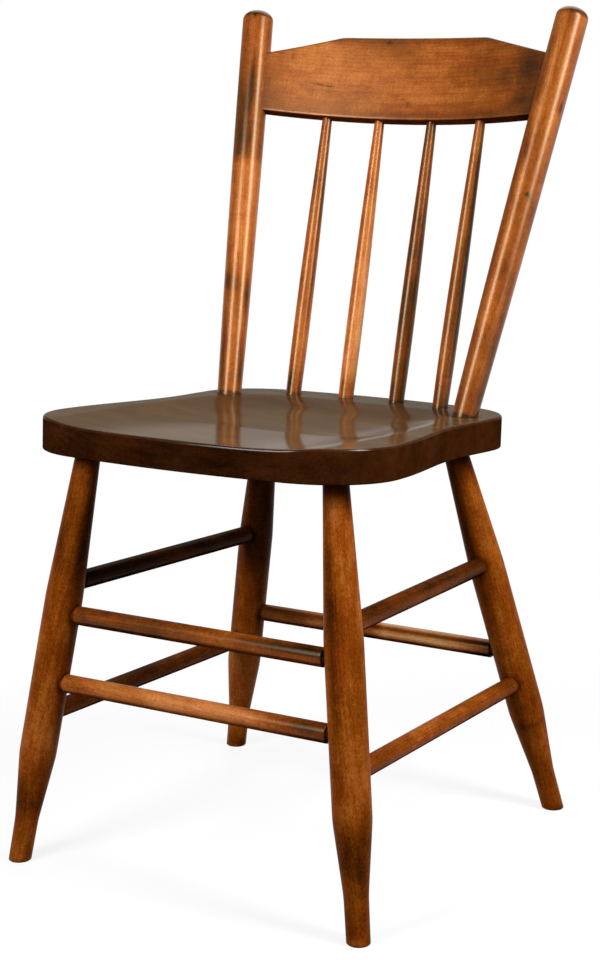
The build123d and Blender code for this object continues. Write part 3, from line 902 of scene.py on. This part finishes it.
def seat_surface():
    """Rows from the middle of the top, over the edge, down the wall and under.

    Each row is the outline, shrunk or set in. Returns the rows' plan and their
    heights, which are negative below the seat's plane, before the plank leans.
    """
    inner = outline - outline_normals * top_round
    shares = np.linspace(top_start, 1, top_rows)
    rows = [seat_middle + (inner - seat_middle) * share for share in shares]
    heights = [-saddle(row[:, 0], row[:, 1]) for row in rows]
    edge = -saddle(inner[:, 0], inner[:, 1])
    for a in np.linspace(0, np.pi / 2, edge_rows)[1:]:
        rows.append(inner + outline_normals * top_round * math.sin(a))
        heights.append(edge - top_round * (1 - math.cos(a)))
    foot = -seat_thickness + bottom_round
    for share in np.linspace(0, 1, wall_rows)[1:]:
        rows.append(outline)
        heights.append((edge - top_round) * (1 - share) + foot * share)
    under = outline - outline_normals * bottom_round
    for a in np.linspace(0, np.pi / 2, foot_rows)[1:]:
        rows.append(under + outline_normals * bottom_round * math.cos(a))
        heights.append(np.full(len(outline), foot - bottom_round * math.sin(a)))
    for share in np.linspace(1, under_stop, under_rows)[1:]:
        rows.append(seat_middle + (under - seat_middle) * share)
        heights.append(np.full(len(outline), -seat_thickness))
    return np.stack(rows)[:, ::-1], np.stack(heights)[:, ::-1]


plan, height = seat_surface()
x, y = plan[..., 0], plan[..., 1]
lean_cos, lean_sin = math.cos(seat_lean), math.sin(seat_lean)
points = np.stack(
    [x, y * lean_cos + height * lean_sin, seat_height - y * lean_sin + height * lean_cos], -1
)
print("seat's top:", round(points[..., 2].max()), "mm over the floor at its highest")

# %% [markdown]
# Stain, painted sheen and painted shade on the seat. Its stain is much darker than
# the frame's. The top is lighter than the walls and turns olive: that is painted
# sheen, for the warm light that the top mirrors. The walls are darker towards the
# viewer's left. On the top a darker band of painted shade crosses in front of the
# spindles, on the hollow's rear slope, and a dark ring stands round each foot of a
# post or spindle, where the cloth could not reach.

# %% Stain, painted sheen and painted shade on the seat
wall_tone, top_painted_sheen, rim_fade = 0.34, 0.39, (-0.6, 0.0)
left_darker, left_fade = 0.1, (60, 160)
band_painted_shade, band_rear, band_front, band_side = 0.15, (92, 115), (35, 70), (110, 150)
foot_darker, post_reach, spindle_reach = 0.4, 22.0, 15.0
seat_in_plank = (60, 90, 900)
top_marks = (  # across the chair, from front to back, length, width, percent lighter
    (-172, -85, 15, 45, -12), (-120, 40, 30, 20, -6), (60, -150, 50, 14, -5),
    (-40, -190, 40, 12, 6),
)  # fmt: skip
wall_marks = (  # across the chair, height on the wall, length, width, percent lighter
    (-135, -11, 22, 5, 10), (-62, -13, 20, 5, 7), (-20, -22, 16, 3, -10), (58, -22, 16, 4, -12),
    (105, -25, 14, 4, 10), (150, -18, 9, 9, -8),
)  # fmt: skip
on_top = step(height + saddle(x, y), *rim_fade) * (height > -saddle_depth - top_round)
on_wall = 1 - on_top
# The top's lift is painted sheen, and the walls keep the stain's own dark.
tone = wall_tone - left_darker * (1 - step(x, *left_fade)) * on_wall + top_painted_sheen * on_top
tone += patches(top_marks, x, y) * on_top + patches(wall_marks, x, height) * on_wall
# Painted shade on the hollow's rear slope, just in front of the spindles.
shade_band = step(y, *band_front) * (1 - step(y, *band_rear)) * (1 - step(np.abs(x), *band_side))
tone -= band_painted_shade * shade_band * on_top
for name, (base, _) in (posts | spindles).items():
    reach = post_reach if name in posts else spindle_reach
    tone -= foot_darker * gathered(points, base, reach)
grain = np.stack([y, height, x], -1) + seat_in_plank
skin("seat", points, grain, tone)

# %% [markdown]
# Stained maple. The real chair is hard maple, wiped with a brown stain. Maple is
# close-grained: it has no open pores, only fine fibres, faint growth rings and a
# little cross figure, and it takes stain unevenly, so it looks cloudy. Every pattern
# reads `grain`, whose unit is the millimetre, so each has its real size. Patterns and
# `tone` add up to one lightness, and a ramp turns that into the stain's browns:
# nearly black where it lies thick, and the maple's honey colour where it is thin.
# Painted shade in `tone` takes the dark browns too, and painted sheen and glints
# the light ones.

# %% Colours and nodes
def linear(code):
    """An sRGB hex colour as linear red, green, blue and alpha."""
    value = np.array([int(code[k : k + 2], 16) for k in (1, 3, 5)]) / 255
    low, high = value / 12.92, ((value + 0.055) / 1.055) ** 2.4
    return (*np.where(value <= 0.04045, low, high).tolist(), 1.0)


def add(tree, kind, settings=None, links=None):
    """Adds a node, gives it its settings, and joins its inputs to other outputs.

    A setting is a property of the node, or an input socket where the node has no
    such property. A link's key names the socket and its value is an output.
    """
    node = tree.nodes.new("ShaderNode" + kind)
    for key, value in (settings or {}).items():
        if isinstance(key, str) and hasattr(node, key):
            setattr(node, key, value)
        else:
            node.inputs[key].default_value = value
    for key, value in (links or {}).items():
        tree.links.new(value, node.inputs[key])
    return node


# The dark browns also carry painted shade, and the light ones painted glints.
stain_browns = (  # lightness and colour, from the thickest stain to the thinnest
    (0.0, "#140902"), (0.15, "#331703"), (0.3, "#592804"), (0.45, "#7f3d09"),
    (0.6, "#a35b24"), (0.75, "#bf7640"), (0.9, "#d9975b"), (1.0, "#e8b47c"),
)  # fmt: skip
# The seat's browns turn olive at the light end, which only the top reaches: that is its painted
# sheen.
seat_browns = (
    (0.0, "#0c0300"), (0.2, "#210e03"), (0.4, "#381a08"), (0.7, "#48301a"), (1.0, "#66492b"),
)  # fmt: skip
print("a leg's brown in linear light:", [round(c, 3) for c in linear("#7f3d09")[:3]])

# %% Patterns of maple
fibre_layers = (  # across, along, detail, lowest, highest, added at lowest, at highest
    (32.0, 90.0, 3.0, 0.3, 0.7, -0.07, 0.07),  # slow clouds in the stain
    (11.0, 26.0, 3.0, 0.35, 0.65, -0.04, 0.04),  # blotches
    (9.0, 3.5, 2.0, 0.4, 0.75, 0.015, -0.035),  # cross figure
    (1.7, 16.0, 2.0, 0.3, 0.7, -0.025, 0.025),  # fibres
    (1.3, 2.4, 1.0, 0.3, 0.7, -0.06, 0.06),  # the fine speckle of the stained pores
    (1.0, 5.0, 1.0, 0.64, 0.8, 0.0, -0.14),  # dark flecks
)
layer_shift = (7.1, 3.3, 5.7)
ring_spacing = 3.2
trunk_squeeze = 0.05
ring_range = (0.45, 1.0)
ring_light, ring_dark = 0.01, -0.035  # added between rings at any strength, and on them


def in_plank(tree, scale, shift):
    """The place inside the plank, scaled and then shifted."""
    place = add(tree, "Attribute", {"attribute_name": "grain"}).outputs["Vector"]
    moved = {"Location": shift, "Scale": scale}
    return add(tree, "Mapping", moved, {"Vector": place}).outputs["Vector"]


def grain_pattern(tree, wide, long, detail, shift=(0.0, 0.0, 0.0)):
    """A noise whose patches are wide mm across the fibres and long mm along them."""
    sized = in_plank(tree, (1 / wide, 1 / wide, 1 / long), shift)
    noise = {"Scale": 1.0, "Detail": detail}
    return add(tree, "TexNoise", noise, {"Vector": sized}).outputs["Fac"]


def growth_rings(tree):
    """Rings round the pith: a saw wave over the radius, drawn out along the trunk.

    At a scale of 1 the node's rings are 2 pi / 20 apart, hence scale and spacing.
    """
    squeezed = in_plank(tree, (1.0, 1.0, trunk_squeeze), (0.0, 0.0, 0.0))
    wave = {"wave_type": "RINGS", "rings_direction": "Z", "wave_profile": "SAW"}
    wave |= {"Scale": 2 * math.pi / 20 / ring_spacing, "Distortion": 6.0, "Detail": 2.0}
    wave |= {"Detail Scale": 0.12, "Detail Roughness": 0.6}
    return add(tree, "TexWave", wave, {"Vector": squeezed}).outputs["Fac"]


def maple_lightness(tree, strength):
    """The sum of tone, growth rings and noises of several real sizes."""
    value = add(tree, "Attribute", {"attribute_name": "tone"}).outputs["Fac"]
    layers = []
    for count, (wide, long, detail, *spread) in enumerate(fibre_layers):
        shift = tuple(count * part for part in layer_shift)
        layers.append((grain_pattern(tree, wide, long, detail, shift), *spread))
    layers.append((growth_rings(tree), *ring_range, ring_light / strength, ring_dark))
    for pattern, low, high, at_low, at_high in layers:
        amount = {"From Min": low, "From Max": high}
        amount |= {"To Min": at_low * strength, "To Max": at_high * strength}
        amount = add(tree, "MapRange", amount, {"Value": pattern}).outputs["Result"]
        value = add(tree, "Math", {"operation": "ADD"}, {0: value, 1: amount}).outputs[0]
    return value


print("patterns:", len(fibre_layers) + 1)

# %% [markdown]
# Lacquer. On the frame it is toned, so its gloss is amber and not white: one tinted
# gloss, with no clear coat over it. The back got most of it. The front and rear
# dowels got less, and the legs and side dowels were rubbed back until hardly any
# was left. What faces down was not sprayed at all. The seat has a clear coat over
# its dark stain, sprayed from above, so it thins out over the rounded edge.

# %% Stained maple under lacquer
lacquer_ior = 1.5
toner = "#ffdfb0"
hue_width, hue_length, hue_as_is, hue_shift = 16.0, 45.0, 0.5, 0.004
wave_width, wave_length, wave_height, wave_strength = 5.0, 60.0, 0.00002, 0.6
bare_slope, full_slope = 0.12, 0.5
coat_roughness = 0.16


def stain_colour(tree, browns, strength):
    """The ramp of browns over the lightness, with a slow drift of the hue."""
    ramp = add(tree, "ValToRGB", {}, {0: maple_lightness(tree, strength)})
    stops = ramp.color_ramp.elements
    while len(stops) < len(browns):
        stops.new(0.5)
    for stop, (place, _) in zip(stops, browns):
        stop.position = place
    for stop, (_, code) in zip(stops, browns):
        stop.color = linear(code)
    drift = grain_pattern(tree, hue_width, hue_length, 3.0)
    hue = {"From Min": 0.3, "From Max": 0.7}
    hue |= {"To Min": hue_as_is - hue_shift, "To Max": hue_as_is + hue_shift}
    hue = add(tree, "MapRange", hue, {"Value": drift}).outputs["Result"]
    links = {"Hue": hue, "Color": ramp.outputs["Color"]}
    return add(tree, "HueSaturation", {}, links).outputs["Color"]


def new_material(name, even):
    """A material, its nodes and its shader, whose values in even hold all over."""
    material = bpy.data.materials.new(name)
    material.use_nodes = True
    shader = material.node_tree.nodes["Principled BSDF"]
    for socket, value in even.items():
        shader.inputs[socket].default_value = value
    return material, material.node_tree, shader


def lacquered_maple(name, browns, strength, gloss, roughness, coat=0.0):
    """Stained wood whose gloss is amber, and a clear coat where the wood faces up."""
    even = {"Roughness": roughness, "IOR": lacquer_ior, "Coat Roughness": coat_roughness}
    even |= {"Specular IOR Level": gloss, "Specular Tint": linear(toner)}
    material, tree, shader = new_material(name, even)
    tree.links.new(stain_colour(tree, browns, strength), shader.inputs["Base Color"])
    ripple = {"Height": grain_pattern(tree, wave_width, wave_length, 2.0)}
    bump = add(tree, "Bump", {"Strength": wave_strength, "Distance": wave_height}, ripple)
    tree.links.new(bump.outputs["Normal"], shader.inputs["Normal"])
    if coat:
        upward = add(tree, "Attribute", {"attribute_name": "upward"}).outputs["Fac"]
        sprayed = {"From Min": bare_slope, "From Max": full_slope, "To Max": coat}
        sprayed = add(tree, "MapRange", sprayed, {"Value": upward}).outputs["Result"]
        tree.links.new(sprayed, shader.inputs["Coat Weight"])
        tree.links.new(bump.outputs["Normal"], shader.inputs["Coat Normal"])
    return material


print("a ripple in the lacquer:", wave_width, "mm wide")

# %% Finishes
dull_slope = -0.4
recipes = {  # name, browns, strength of the patterns, gloss, roughness, clear coat
    # Sprayed in full: long amber glints run down the posts and spindles.
    "back": ("satin_lacquered_brown_stained_maple", stain_browns, 1.0, 0.5, 0.3),
    # Sprayed thinly: the front and rear dowels have a faint sheen along the top.
    "stretcher": ("thinly_lacquered_brown_stained_maple", stain_browns, 1.0, 0.22, 0.3),
    # Rubbed back: the legs show their plain brown with hardly a glint.
    "leg": ("rubbed_back_brown_stained_maple", stain_browns, 1.0, 0.02, 0.35),
    # Not sprayed: an underside mirrors nothing, so it falls off to a deep brown.
    "underside": ("unlacquered_brown_stained_maple", stain_browns, 1.0, 0.0, 0.6),
    # Clear coat on dark stain: the seat mirrors the posts and the pale studio.
    "seat": ("satin_lacquered_dark_stained_maple", seat_browns, 0.9, 0.0, 0.5, 0.52),
}
finishes = {part: lacquered_maple(*values) for part, values in recipes.items()}
for node, piece in skins.items():
    part = node.split("_")[0]
    if node.startswith(("stretcher_left", "stretcher_right")):
        part = "leg"
    piece.data.materials.append(finishes.get(part, finishes["back"]))
    if part == "seat":
        continue
    piece.data.materials.append(finishes["underside"])
    normals = np.empty(3 * len(piece.data.polygons))
    piece.data.polygons.foreach_get("normal", normals)
    faces_down = (normals[2::3] < dull_slope).astype(np.int32)
    piece.data.polygons.foreach_set("material_index", faces_down)
print("finishes:", ", ".join(material.name for material in finishes.values()))

# %% [markdown]
# The studio: a pale floor that keeps the chair's shadow and fades to plain white
# away from it, and a white sweep all round that ends just above the picture's top
# edge. Over it is a plain grey wall that only the lacquer shows, which keeps the
# seat's mirror and the glints deep. The camera, mirrors and glass see all that. For
# other light the world is only a low fill, so that the lamps shape the wood.

# %% Floor and background
def seen_directly(tree):
    """1 for the rays that the camera, a mirror or a glass sends, and 0 for the others."""
    path = add(tree, "LightPath").outputs
    largest = {"operation": "MAXIMUM"}
    seen = add(tree, "Math", largest, {0: path["Is Camera Ray"], 1: path["Is Glossy Ray"]})
    seen = add(tree, "Math", largest, {0: seen.outputs[0], 1: path["Is Transmission Ray"]})
    return seen.outputs[0]


floor_half = 15.0
shadow_reach, white_reach, least_white = 0.3, 0.75, 0.82
floor_mesh = bpy.data.meshes.new("studio_floor")
corners = np.array([(-1, -1, 0), (1, -1, 0), (1, 1, 0), (-1, 1, 0)]) * floor_half
floor_mesh.from_pydata(corners.tolist(), [], [(0, 1, 2, 3)])
floor = set_down("studio_floor", floor_mesh)
# Matte paper: it throws back a dim, even light, and has no glint of its own.
even = {"Roughness": 0.9, "Specular IOR Level": 0.1, "Base Color": linear("#5c5c5c")}
paper, tree, shader = new_material("matte_studio_paper", even)
pale = add(tree, "BsdfDiffuse", {"Color": linear("#f4f4f4")}).outputs[0]
glow = add(tree, "Emission", {"Color": linear("#ffffff"), "Strength": 1.0}).outputs[0]
place = add(tree, "TexCoord").outputs["Object"]
away = add(tree, "VectorMath", {"operation": "LENGTH"}, {0: place}).outputs["Value"]
fade = {"From Min": shadow_reach, "From Max": white_reach, "To Min": least_white}
fade |= {"interpolation_type": "SMOOTHSTEP"}
fade = add(tree, "MapRange", fade, {"Value": away}).outputs["Result"]
white = add(tree, "MixShader", {}, {0: fade, 1: pale, 2: glow}).outputs[0]
ways = {0: seen_directly(tree), 1: shader.outputs[0], 2: white}
mixed = add(tree, "MixShader", {}, ways).outputs[0]
tree.links.new(mixed, tree.nodes["Material Output"].inputs["Surface"])
floor_mesh.materials.append(paper)
print("floor:", 2 * floor_half, "m square")

# %% Backdrop
fill = 0.2
upper_wall = "#8c8a7c"
sweep_end, wall_start = 0.0285, 0.042  # how far a ray rises over its own length
world = bpy.data.worlds.new("white_studio")
bpy.context.scene.world = world
world.use_nodes = True
tree = world.node_tree
direction = add(tree, "TexCoord").outputs["Generated"]
rise = add(tree, "SeparateXYZ", {}, {0: direction}).outputs["Z"]
above = {"interpolation_type": "SMOOTHSTEP", "From Min": sweep_end, "From Max": wall_start}
above = add(tree, "MapRange", above, {"Value": rise}).outputs["Result"]
wall = {"Color1": linear("#ffffff"), "Color2": linear(upper_wall)}
wall = add(tree, "MixRGB", wall, {"Fac": above}).outputs["Color"]
ways = {"Fac": seen_directly(tree), "Color2": wall}
light = add(tree, "MixRGB", {"Color1": (fill, fill, fill, 1.0)}, ways).outputs["Color"]
tree.links.new(light, tree.nodes["Background"].inputs["Color"])
print("a white sweep, a grey upper wall and a fill of", fill)

# %% [markdown]
# Two tall soft boxes stand in front, one to the left of the camera and one to the
# right. Each has a grid, which keeps its light off the far floor. The posts and
# spindles lean back and mirror them as two long glints, and the legs, which lean
# the other way, mirror the floor and stay plain. A large soft box hangs high behind
# the chair, and lights the top edges and the far sides a little.

# %% Lamps
grid = 120
lamps = (  # name, place, aim, width, height, watts
    ("left_soft_box", (-0.31, -1.15, 1.12), (-0.05, 0.1, 0.55), 0.45, 0.78, 9.5),
    ("right_soft_box", (1.3, -0.1, 1.32), (0.05, 0.1, 0.5), 0.44, 0.9, 15.0),
    ("rear_soft_box", (-0.4, 1.3, 2.0), (0, 0, 0.6), 1.6, 1.6, 7.0),
)


def soft_box(name, place, aim, wide, tall, watts):
    """A rectangular area lamp at a place, facing aim, in metres and watts.

    Its light stays in a cone whose full angle is grid, in degrees.
    """
    lamp = bpy.data.lights.new(name, "AREA")
    lamp.shape = "RECTANGLE"
    lamp.size, lamp.size_y, lamp.energy = wide, tall, watts
    lamp.spread = math.radians(grid)
    look = Vector(aim) - Vector(place)
    turn_to = look.to_track_quat("-Z", "Y").to_matrix().to_4x4()
    set_down(name, lamp).matrix_world = Matrix.Translation(place) @ turn_to


for lamp in lamps:
    soft_box(*lamp)
print("lamps:", len(lamps))

# %% [markdown]
# The camera stands to the right of the chair's front and level with the crest rail,
# far enough away for a portrait lens.

# %% Camera
camera_azimuth, camera_elevation, camera_roll = map(math.radians, (30.998, 11.486, 0.0776))
camera_place = (1.1264, -1.8856, 0.84131)
image_height = 960
focal_pixels = 2063.4
camera = bpy.data.cameras.new("camera")
camera.lens = focal_pixels / image_height * camera.sensor_width
camera_object = set_down("camera", camera)
camera_object.matrix_world = (
    Matrix.Translation(camera_place)
    @ Matrix.Rotation(camera_azimuth, 4, "Z")
    @ Matrix.Rotation(math.pi / 2 - camera_elevation, 4, "X")
    @ Matrix.Rotation(camera_roll, 4, "Z")
)
bpy.context.scene.camera = camera_object
bpy.context.scene.view_settings.view_transform = "Standard"
print("lens:", round(camera.lens, 1), "mm")
